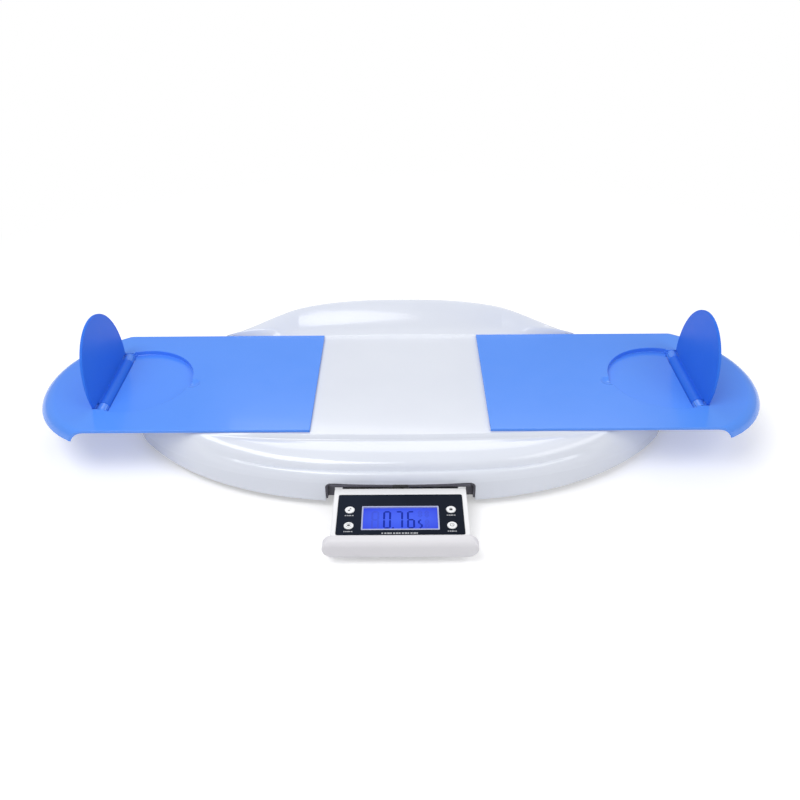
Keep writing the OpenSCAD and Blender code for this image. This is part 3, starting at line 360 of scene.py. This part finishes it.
# sections of the side walls: shares of the way in and of the way up; above 1, down the rim's inner side
frontShape = [(0.012, 0), (0.033, 0.13), (0.072, 0.24), (0.118, 0.295), (0.152, 0.288), (0.172, 0.275),
              (0.190, 0.36), (0.225, 0.49), (0.285, 0.60), (0.38, 0.69), (0.52, 0.752), (0.72, 0.788),
              (0.905, 0.80), (0.955, 0.90), (1, 1)]
backShape = [(0.012, 0), (0.030, 0.055), (0.066, 0.10), (0.096, 0.125), (0.108, 0.15), (0.100, 0.24),
             (0.082, 0.42), (0.076, 0.66), (0.082, 0.86), (0.100, 0.955), (0.150, 1), (0.23, 1.03),
             (0.42, 1.30), (0.74, 1.80), (1, 2)]
endShape = [(0.03, 0), (0.06, 0.12), (0.10, 0.22), (0.145, 0.32), (0.20, 0.41), (0.26, 0.50), (0.325, 0.58),
            (0.39, 0.655), (0.46, 0.725), (0.54, 0.79), (0.625, 0.85), (0.72, 0.905), (0.815, 0.95),
            (0.91, 0.985), (1, 1)]


def mix(first, second, share):
    return first + (second - first) * share


def longCurve(x):
    c = casing
    left = max(0.0, 1 - (abs(x) / c["halfLength"]) ** c["lengthPower"])
    return c["halfDepth"] * left ** (1 / c["depthPower"])


# the tip's ellipse meets the long curve at tipX with the same slope
tipX = casing["tipFrom"] * casing["halfLength"]
tipRun = casing["tipRun"] * casing["halfLength"]
tipSlope = longCurve(tipX - 0.5) - longCurve(tipX + 0.5)
tipOff = tipRun ** 2 / (longCurve(tipX) / tipSlope - 2 * tipRun)
tipLong = tipOff + tipRun
tipWide = tipLong * sqrt(tipSlope * longCurve(tipX) / tipOff)


def outline(x):  # half depth of the body
    if abs(x) < tipX:
        return longCurve(x)
    return tipWide * sqrt(max(0.0, 1 - ((abs(x) - tipX + tipOff) / tipLong) ** 2))


def platformEdge(x):
    c = casing
    side = c["platformHalf"] - c["taper"] * (x / (c["taperShare"] * c["halfLength"])) ** 2
    return min(side, c["tipShare"] * outline(x))


def rimArc(x):  # height of the rear rim's crest
    share = (x / casing["rimReach"]) ** 2
    return casing["deck"] + casing["rimRise"] * (1 - (share if share > 1 else share ** casing["rimFull"]))


def topLevel(x):  # height of the platform, rounded down at the tips
    c = casing
    t = min(c["tipRound"], max(0.0, abs(x) - (tipX + tipRun) + c["tipRound"]))
    return min(c["platform"], rimArc(x)) - (c["tipRound"] - sqrt(c["tipRound"] ** 2 - t * t))


notchTurns = [a * pi / 10 for a in range(6)]  # a quarter turn in five steps


def notchSide(turn):  # half width of the drawer's notch along its round corner
    return round(casing["notchHalf"] - casing["notchRound"] * (1 - cos(turn)), 3)


def sidePoints(x, rear):
    # one side of a section from the skirt's foot to the platform, as (out, up)
    c = casing
    k = min(1.0, max(0.0, (abs(x) / c["halfLength"] - c["endFrom"]) / c["endRun"]))
    k = k * k * (3 - 2 * k)
    fall = min(1.0, (abs(x) / (c["fallShare"] * c["halfLength"])) ** c["lengthPower"])
    low = c["shoulder"] - c["shoulderFall"] * fall
    flat, out, inner = topLevel(x), outline(x), platformEdge(x)
    if rear and out > c["rearHalf"]:
        inner = max(inner, c["boardHalf"])
    high = max(flat, rimArc(x)) if rear else flat
    points = []
    for (u, v), (endU, endV) in zip(backShape if rear else frontShape, endShape):
        up = low + v * (high - low) if v <= 1 else high - (v - 1) * (high - flat)
        endUp = flat if endV == 1 else low + endV * (high - low)
        points.append((out - mix(u, endU, k) * (out - inner), mix(up, endUp, k)))
    # rows of the skirt, with those of the notch's corner above them
    share = min(1.0, (low - c["foot"]) / c["skirtFull"])
    rows = [c["foot"], *c["skirtRows"]]
    rows += [c["notchTop"] - c["notchRound"] * (1 - sin(turn)) for turn in notchTurns]
    return [(out, c["foot"] + (row - c["foot"]) * share) for row in rows], points


def smoothed(points, steps):
    # a curve through the points that keeps its two ends
    ends = [points[0]] + points + [points[-1]]
    curve = []
    for a, b, c, d in zip(ends, ends[1:], ends[2:], ends[3:]):
        for i in range(steps):
            t = i / steps
            curve.append(tuple(0.5 * (2 * q + (r - p) * t + (2 * p - 5 * q + 4 * r - s) * t * t
                                      + (3 * q - p - 3 * r + s) * t ** 3) for p, q, r, s in zip(a, b, c, d)))
    return curve + [points[-1]]


def section(x):
    c = casing
    sides = []
    for rear in (False, True):
        skirt, points = sidePoints(x, rear)
        sides.append(skirt + smoothed(points, c["curveSteps"]))
    inner = platformEdge(x)
    top = topLevel(x)
    edge = min(c["channelHalf"], inner - min(c["lipWalls"] * c["wall"], c["lipShare"] * outline(x)))
    deep = min(1.0, max(0.0, (abs(x) - c["channelFrom"]) / c["channelRamp"]))
    floor = mix(top, min(top, c["channelFloor"]), deep)
    near = edge + c["channelLean"] * inner
    slotOut = min(c["slotOut"], mix(near, inner, c["slotOutShare"]))
    slotIn = min(c["slotIn"], mix(near, inner, c["slotInShare"]))
    rows = [(slotOut, top), (slotIn, top), (near, top), (edge, floor)]
    front = [(-y, z) for y, z in sides[0] + rows]
    back = [(y, z) for y, z in reversed(sides[1] + rows)]
    if outline(x) <= c["rearHalf"] and rimArc(x) > c["platform"]:
        back = [(y, min(z, c["rearEdge"]) if y < c["boardHalf"] else z) for y, z in back]
    return front + back


def makeCasing():
    c = casing
    tip = tipX + tipRun - c["tipStop"]
    turns = [radians(a * c["stationStep"]) for a in range(int(90 / c["stationStep"]) + 1)]
    stations = {round(tip * sin(turn), 3) for turn in turns}
    stations |= {notchSide(turn) for turn in notchTurns}
    stations |= {c["slotFrom"], c["slotTo"], c["channelFrom"], c["channelFrom"] + c["channelRamp"]}
    stations.add(c["rimReach"] * sqrt(1 + (c["deck"] - c["platform"]) / c["rimRise"]))
    stations = sorted({s * x for x in stations for s in (-1, 1)})
    rings = [section(x) for x in stations]
    across, along = len(rings[0]) - 1, len(stations) - 1
    bm = bmesh.new()
    bmesh.ops.create_grid(bm, x_segments=along, y_segments=across, size=1.0)
    place = {}
    for v in bm.verts:
        i, j = round((v.co.x + 1) / 2 * along), round((v.co.y + 1) / 2 * across)
        y, z = rings[i][j]
        v.co = (stations[i], y, z)
        place[i, j] = v
    # the notch's round corners run through the corners of the skirt's cells
    firstRow = 1 + len(c["skirtRows"])
    for side in (-1, 1):
        corner = []
        for row, turn in enumerate(notchTurns, firstRow):
            x = side * notchSide(turn)
            corner.append(place[min(range(len(stations)), key=lambda n: abs(stations[n] - x)), row])
        for first, second in zip(corner, corner[1:]):
            bmesh.ops.connect_verts(bm, verts=[first, second])

    def inNotch(p):
        if p.y > 0 or abs(p.x) > c["notchHalf"] or p.z > c["notchTop"]:
            return False
        dx, dz = abs(p.x) - c["notchHalf"] + c["notchRound"], p.z - c["notchTop"] + c["notchRound"]
        return dx < 0 or dz < 0 or dx * dx + dz * dz < c["notchRound"] ** 2

    def inSlot(p):
        inRun = c["slotFrom"] < abs(p.x) < c["slotTo"]
        return inRun and c["slotIn"] < abs(p.y) < c["slotOut"] and p.z > c["slotLow"]

    middles = {f: f.calc_center_median() for f in bm.faces}
    bmesh.ops.delete(bm, geom=[f for f, p in middles.items() if inNotch(p) or inSlot(p)], context="FACES")
    for i in (0, along):
        bm.faces.new([place[i, j] for j in range(across + 1)])
    bmesh.ops.recalc_face_normals(bm, faces=bm.faces)
    if sum(f.normal.z * f.calc_area() for f in bm.faces) < 0:
        bmesh.ops.reverse_faces(bm, faces=bm.faces)
    piece = settle(bm, "casing", "caseWhite", "casing", ["top_shell"])
    wall = piece.modifiers.new("wall", "SOLIDIFY")
    wall.thickness, wall.offset, wall.use_even_offset, wall.use_rim = c["wall"] * mm, -1.0, False, True
    softenEdges(piece, c["edge"])


makeCasing()
print("casing")

# Pieces whose solids are right in shape: their own mesh, merged, with soft edges.
dressed = {
    "leftDeck": ("left_board", "boardBlue", "left_board_body", "board_blue", 0.5),
    "rightDeck": ("right_board", "boardBlue", "right_board_body", "board_blue", 0.5),
    "leftStop": ("left_flap", "flapBlue", "left_flap_body", "flap_blue", 0.7),
    "rightStop": ("right_flap", "flapBlue", "right_flap_body", "flap_blue", 0.7),
    "bayLining": ("bay_liner", "bayGrey", "casing", "dark_plastic", 0.3),
    "drawerTray": ("drawer_tray", "drawerWhite", "drawer", "white_plastic", 0.4),
    "drawerBar": ("drawer_grip", "gripWhite", "drawer", "white_plastic", 1.2),
    "drawerRim": ("panel_frame", "drawerWhite", "drawer", "white_plastic", 0.5),
    "displayPanel": ("display_window", "windowBlack", "drawer", "window_black", 0.2),
    "displayRing": ("lcd_frame", "lcdFrame", "drawer", "lcd_frame", 0.2),
}


def hingeWebs(bm, side):
    # close the slot beyond the hinge's ends, and the recess's corners there
    web = {"hinge": 331.0,
           # from the hinge towards the middle, away from the centre line, up
           "blocks": [((-8.2, 8.2), (56.8, 59.4), (55.0, 58.4)), ((-8.2, 6.7), (56.8, 59.4), (58.0, 61.2)),
                      ((4.6, 8.1), (59.1, 64.8), (55.4, 61.2))]}
    for end in (-1, 1):
        for inward, out, up in web["blocks"]:
            xs = sorted(side * (web["hinge"] - v) for v in inward)
            ys = sorted(end * v + forward for v in out)
            block(bm, [v[0] * mm for v in (xs, ys, up)], [v[1] * mm for v in (xs, ys, up)])


def rearTabs(bm):  # the tray's guide ribs start just behind the panel
    tab = {"half": 4.0, "from": -153.6, "to": -149.9, "low": 24.0, "high": 29.9, "place": 63.0}
    for side in (-1, 1):
        block(bm, [(side * tab["place"] - tab["half"]) * mm, (tab["from"] + forward) * mm, tab["low"] * mm],
              [(side * tab["place"] + tab["half"]) * mm, (tab["to"] + forward) * mm, tab["high"] * mm])


cleaning = {"merge": 0.000002, "flat": 0.4}  # metres, degrees

for name, (node, finish, body, slot, edge) in dressed.items():
    bm = bmesh.new()
    bm.from_mesh(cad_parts[node].data)
    bmesh.ops.remove_doubles(bm, verts=bm.verts, dist=cleaning["merge"])
    bmesh.ops.dissolve_limit(bm, angle_limit=radians(cleaning["flat"]), verts=bm.verts, edges=bm.edges)
    if node.endswith("_board"):
        hingeWebs(bm, -1 if node.startswith("left") else 1)
    if node == "drawer_tray":
        rearTabs(bm)
    softenEdges(settle(bm, name, finish, body, [node], scaled=False), edge)
print("boards, stops and drawer")

bayTrim = {"half": 71.5, "front": -153.4, "back": -151.2, "low": 30.45, "high": 32.45, "catchHalf": 8.0,
           "catchFront": -154.0, "catchBack": -151.6, "catchHigh": 32.6, "edge": 0.25}


def makeTrim():  # the lining's lip over the drawer's mouth, and the catch's nose in its middle
    t = bayTrim
    bm = bmesh.new()
    block(bm, (-t["half"], t["front"], t["low"]), (t["half"], t["back"], t["high"]))
    softenEdges(settle(bm, "bayLip", "bayGrey", "casing"), t["edge"])
    bm = bmesh.new()
    block(bm, (-t["catchHalf"], t["catchFront"], t["low"]), (t["catchHalf"], t["catchBack"], t["catchHigh"]))
    softenEdges(settle(bm, "catchNose", "blackPlastic", "casing"), t["edge"])


makeTrim()
print("drawer mouth")

# The display: lit glass and its figures.
sink = 0.02  # figures and marks start this far inside what they lie on
display = {"y": -197.5, "glass": (75.6, 33.2), "glassEdge": 0.15, "low": 25.15, "high": 27.55,
           "figureTop": 27.62, "stroke": 1.95, "gap": 0.2,
           # figure, centre, size
           "figures": [("0", (-13.0, -1.2), (7.8, 24.6)), ("7", (-1.2, -1.2), (7.8, 24.6)),
                       ("6", (10.4, -1.2), (7.8, 24.6)), ("5", (19.4, -7.2), (4.6, 12.6))],
           "ghosts": [("8", (-24.6, -1.2), (7.8, 24.6)), ("8", (19.4, 6.8), (4.6, 10.0)),
                      ("8", (26.0, 6.8), (4.6, 10.0)), ("8", (26.0, -7.2), (4.6, 12.6))],
           "point": ((-7.1, -12.6), 0.95)}
segments = {"a": ((-1, 1), (1, 1)), "b": ((1, 1), (1, 0)), "c": ((1, 0), (1, -1)), "d": ((-1, -1), (1, -1)),
            "e": ((-1, 0), (-1, -1)), "f": ((-1, 1), (-1, 0)), "g": ((-1, 0), (1, 0))}
lit = {"0": "abcdef", "7": "abc", "6": "acdefg", "5": "acdfg", "8": "abcdefg"}


def stroke(bm, start, end, width, low, high, pointed=True):
    # a flat bar with pointed or square ends
    a, b = Vector(start), Vector(end)
    run = b - a
    side = Vector((-run.y, run.x)).normalized() * width / 2
    if pointed:
        tip = run.normalized() * width / 2
        ring = [a, a + tip + side, b - tip + side, b, b - tip - side, a + tip - side]
    else:
        ring = [a + side, b + side, b - side, a - side]
    face = bm.faces.new([bm.verts.new((p.x, p.y, low)) for p in ring])
    raised = bmesh.ops.extrude_face_region(bm, geom=[face])["geom"]
    top = [g for g in raised if isinstance(g, bmesh.types.BMVert)]
    bmesh.ops.translate(bm, vec=(0, 0, high - low), verts=top)


def figures(name, which, finish):
    d = display
    low, high = d["high"] - sink, d["figureTop"]
    bm = bmesh.new()
    for figure, (x, y), (wide, tall) in d[which]:
        w, t = wide / 2 - d["stroke"] / 2, tall / 2 - d["stroke"] / 2
        place = Vector((x, y + d["y"]))
        for segment in lit[figure]:
            (x0, y0), (x1, y1) = segments[segment]
            start, end = Vector((x0 * w, y0 * t)), Vector((x1 * w, y1 * t))
            trim = (end - start).normalized() * d["gap"]
            stroke(bm, place + start + trim, place + end - trim, d["stroke"], low, high)
    if which == "figures":
        (x, y), half = d["point"]
        stroke(bm, (x - half, y + d["y"]), (x + half, y + d["y"]), 2 * half, low, high, False)
    bmesh.ops.recalc_face_normals(bm, faces=bm.faces)
    settle(bm, name, finish, "drawer")


def makeGlass():
    d = display
    bm = bmesh.new()
    wide, deep = d["glass"]
    block(bm, (-wide / 2, d["y"] - deep / 2, d["low"]), (wide / 2, d["y"] + deep / 2, d["high"]))
    bmesh.ops.bevel(bm, geom=list(bm.edges), offset=d["glassEdge"], segments=2, profile=0.5, affect="EDGES",
                    material=-1)
    settle(bm, "displayGlass", "litGlass", "drawer", ["lcd_glass"])


makeGlass()
figures("displayFigures", "figures", "figureBlue")
figures("displayGhosts", "ghosts", "ghostBlue")

keys = {"x": 50.0, "rear": -186.3, "front": -208.6, "top": 30.0, "thick": 0.10}
# what each mark is drawn with, from its key's middle: a disc's middle, radius and breadth; a bar's ends and
# width; an arc's middle, radius, width, angles and steps
marks = {
    "noteMark": [("disc", (-0.7, -1.4), 0.85, 1.25), ("bar", (0.2, -1.4), (0.2, 1.9), 0.4),
                 ("bar", (0.1, 1.8), (1.6, 0.8), 0.6)],
    "tareMark": [("disc", (0, 0), 1.05, 1.5), ("arc", (0, 0), 2.7, 0.3, (20, 160), 14),
                 ("arc", (0, 0), 2.7, 0.3, (200, 340), 14)],
    "lockMark": [("bar", (0, -1.9), (0, 0.3), 3.0), ("arc", (0, 0.3), 1.05, 0.5, (0, 180), 14)],
    "powerMark": [("arc", (0, 0), 1.9, 0.45, (120, 420), 20), ("bar", (0, 0.2), (0, 2.5), 0.45)],
}
discSteps = 20


def disc(bm, key, levels, middle, radius, breadth):
    low, high = levels
    made = bmesh.ops.create_cone(bm, cap_ends=True, segments=discSteps, radius1=radius, radius2=radius,
                                 depth=high - low)["verts"]
    bmesh.ops.scale(bm, vec=(breadth, 1.0, 1.0), verts=made)
    place = (key[0] + middle[0], key[1] + middle[1], (low + high) / 2)
    bmesh.ops.translate(bm, vec=place, verts=made)


def bar(bm, key, levels, start, end, width):
    ends = [(key[0] + x, key[1] + y) for x, y in (start, end)]
    stroke(bm, *ends, width, *levels, False)


def arc(bm, key, levels, middle, radius, width, angles, steps):
    # a small square turned round a centre
    low, high = levels
    x, y = key[0] + middle[0], key[1] + middle[1]
    inner, outer = radius - width / 2, radius + width / 2
    a, turn = radians(angles[0]), angles[1] - angles[0]
    corners = [(inner, low), (outer, low), (outer, high), (inner, high)]
    face = bm.faces.new([bm.verts.new((x + r * cos(a), y + r * sin(a), z)) for r, z in corners])
    bmesh.ops.spin(bm, geom=[face, *face.edges, *face.verts], cent=(x, y, 0), axis=(0, 0, 1),
                   angle=radians(turn), steps=steps, use_merge=turn >= 360)


def keyMark(name, body, side, row):
    bm = bmesh.new()
    levels = (keys["top"] - sink, keys["top"] + keys["thick"])
    for kind, *values in marks[name]:
        {"disc": disc, "bar": bar, "arc": arc}[kind](bm, (side * keys["x"], keys[row]), levels, *values)
    bmesh.ops.recalc_face_normals(bm, faces=bm.faces)
    settle(bm, name, "inkBlack", body)


keyMark("noteMark", "music_key", -1, "rear")
keyMark("tareMark", "tare_key", -1, "front")
keyMark("lockMark", "lock_key", 1, "rear")
keyMark("powerMark", "power_key", 1, "front")

# Plain printed bars in the places of the captions.
captions = {"low": 29.19, "high": 29.24, "tall": 1.3, "under": 7.9, "wide": 9.0, "parts": 5,
            "footY": -218.9, "footTall": 1.6, "footWide": 36.0, "footParts": 13, "least": 0.55, "vary": 0.15}


def makeCaptions():
    c = captions
    bm = bmesh.new()

    def row(x, y, wide, parts, tall):
        pitch = wide / parts
        for i in range(parts):
            start = x - wide / 2 + i * pitch
            share = c["least"] + c["vary"] * (i % 3)  # three lengths by turns
            stroke(bm, (start, y), (start + pitch * share, y), tall, c["low"], c["high"], False)

    for side in (-1, 1):
        for y in (keys["rear"], keys["front"]):
            row(side * keys["x"], y - c["under"], c["wide"], c["parts"], c["tall"])
    row(0, c["footY"], c["footWide"], c["footParts"], c["footTall"])
    bmesh.ops.recalc_face_normals(bm, faces=bm.faces)
    settle(bm, "panelBars", "printWhite", "drawer")


makeCaptions()
print("display, keys and marks")


def addCamera():
    # matched to the photograph
    view = {"place": (0.0040, -0.72664, 0.55953), "lens": 35.42, "sensor": 36.0, "near": 0.01,
            "right": (0.99997, 0.000573, -0.007593), "up": (0.005933, 0.566426, 0.824091),
            "ahead": (-0.004774, 0.824112, -0.566406)}
    data = bpy.data.cameras.new("camera")
    data.lens, data.sensor_width, data.clip_start = view["lens"], view["sensor"], view["near"]
    camera = bpy.data.objects.new("camera", data)
    turn = Matrix([view["right"], view["up"], [-v for v in view["ahead"]]]).transposed()
    camera.matrix_world = Matrix.Translation(view["place"]) @ turn.to_4x4()
    bpy.context.collection.objects.link(camera)
    bpy.context.scene.camera = camera


lamps = [  # name, place, target, size, power
    ("keyLamp", (-0.6, -0.55, 1.45), (0.0, 0.0, 0.05), (1.1, 0.8), 12.0),
    ("fillLamp", (1.1, -0.75, 1.1), (0.0, 0.0, 0.05), (0.9, 0.9), 5.0),
    ("backLamp", (0.1, 1.2, 1.3), (0.0, 0.05, 0.06), (1.4, 0.5), 4.5),
]


def addLamp(name, place, target, size, power):
    data = bpy.data.lights.new(name, "AREA")
    data.shape, data.size, data.size_y, data.energy = "RECTANGLE", *size, power
    lamp = bpy.data.objects.new(name, data)
    aim = Vector(target) - Vector(place)
    lamp.matrix_world = Matrix.Translation(place) @ aim.to_track_quat("-Z", "Y").to_matrix().to_4x4()
    bpy.context.collection.objects.link(lamp)


def addStudio():
    studio = {"worldLight": 0.50, "worldColour": (1.0, 1.0, 1.0), "floor": (0.80, 0.80, 0.81), "half": 4.0,
              "roughness": 0.9, "speckle": 30.0, "speckShade": 0.985, "lift": 0.34, "whiteFrom": 0.50,
              "whiteTo": 0.95}
    world = bpy.data.worlds.new("studio")
    world.use_nodes = True
    bpy.context.scene.world = world
    tree = world.node_tree
    background = tree.nodes["Background"]
    background.inputs[0].default_value = (*studio["worldColour"], 1.0)
    ray = tree.nodes.new("ShaderNodeLightPath")
    seen = tree.nodes.new("ShaderNodeMath")
    seen.operation = "MULTIPLY_ADD"
    tree.links.new(ray.outputs["Is Camera Ray"], seen.inputs[0])
    seen.inputs[1].default_value = 1.0 - studio["worldLight"]
    seen.inputs[2].default_value = studio["worldLight"]
    tree.links.new(seen.outputs[0], background.inputs[1])

    floor = bmesh.new()
    bmesh.ops.create_grid(floor, x_segments=1, y_segments=1, size=studio["half"])
    mesh = bpy.data.meshes.new("studioFloor")
    floor.to_mesh(mesh)
    floor.free()
    sheet = bpy.data.objects.new("studioFloor", mesh)
    bpy.context.collection.objects.link(sheet)
    finish = Finish("floorPaper", Roughness=studio["roughness"])
    speckle = finish.noise(studio["speckle"], 3.0)
    shade = tuple(v * studio["speckShade"] for v in studio["floor"])
    finish.set("Base_Color", finish.blend(speckle, shade, studio["floor"]))
    tree = finish.tree
    lift = tree.nodes.new("ShaderNodeEmission")
    lift.inputs[1].default_value = studio["lift"]
    lifted = tree.nodes.new("ShaderNodeAddShader")
    tree.links.new(finish.shader.outputs[0], lifted.inputs[0])
    tree.links.new(lift.outputs[0], lifted.inputs[1])
    white = tree.nodes.new("ShaderNodeEmission")
    x, y, z = finish.axes()
    away = finish.node("ShaderNodeMath", {"operation": "SQRT"}, {0: x * x + y * y})
    far = finish.ramp(away, studio["whiteFrom"], studio["whiteTo"])
    paper = tree.nodes.new("ShaderNodeMixShader")
    tree.links.new(far.socket, paper.inputs[0])
    tree.links.new(lifted.outputs[0], paper.inputs[1])
    tree.links.new(white.outputs[0], paper.inputs[2])
    # only the camera and mirror-like rays see the white paper; its light stays plain
    path = tree.nodes.new("ShaderNodeLightPath")
    direct, glossy, through = (Wire(finish, path.outputs[f"Is {kind} Ray"])
                               for kind in ("Camera", "Glossy", "Transmission"))
    seen = direct.most(glossy).most(through)
    shown = tree.nodes.new("ShaderNodeMixShader")
    tree.links.new(seen.socket, shown.inputs[0])
    tree.links.new(finish.shader.outputs[0], shown.inputs[1])
    tree.links.new(paper.outputs[0], shown.inputs[2])
    tree.links.new(shown.outputs[0], tree.nodes["Material Output"].inputs[0])
    sheet.data.materials.append(finish.material)


bpy.context.scene.view_settings.view_transform = "Standard"
addCamera()
addStudio()
for lamp in lamps:
    addLamp(*lamp)
print("camera, lamps and floor")
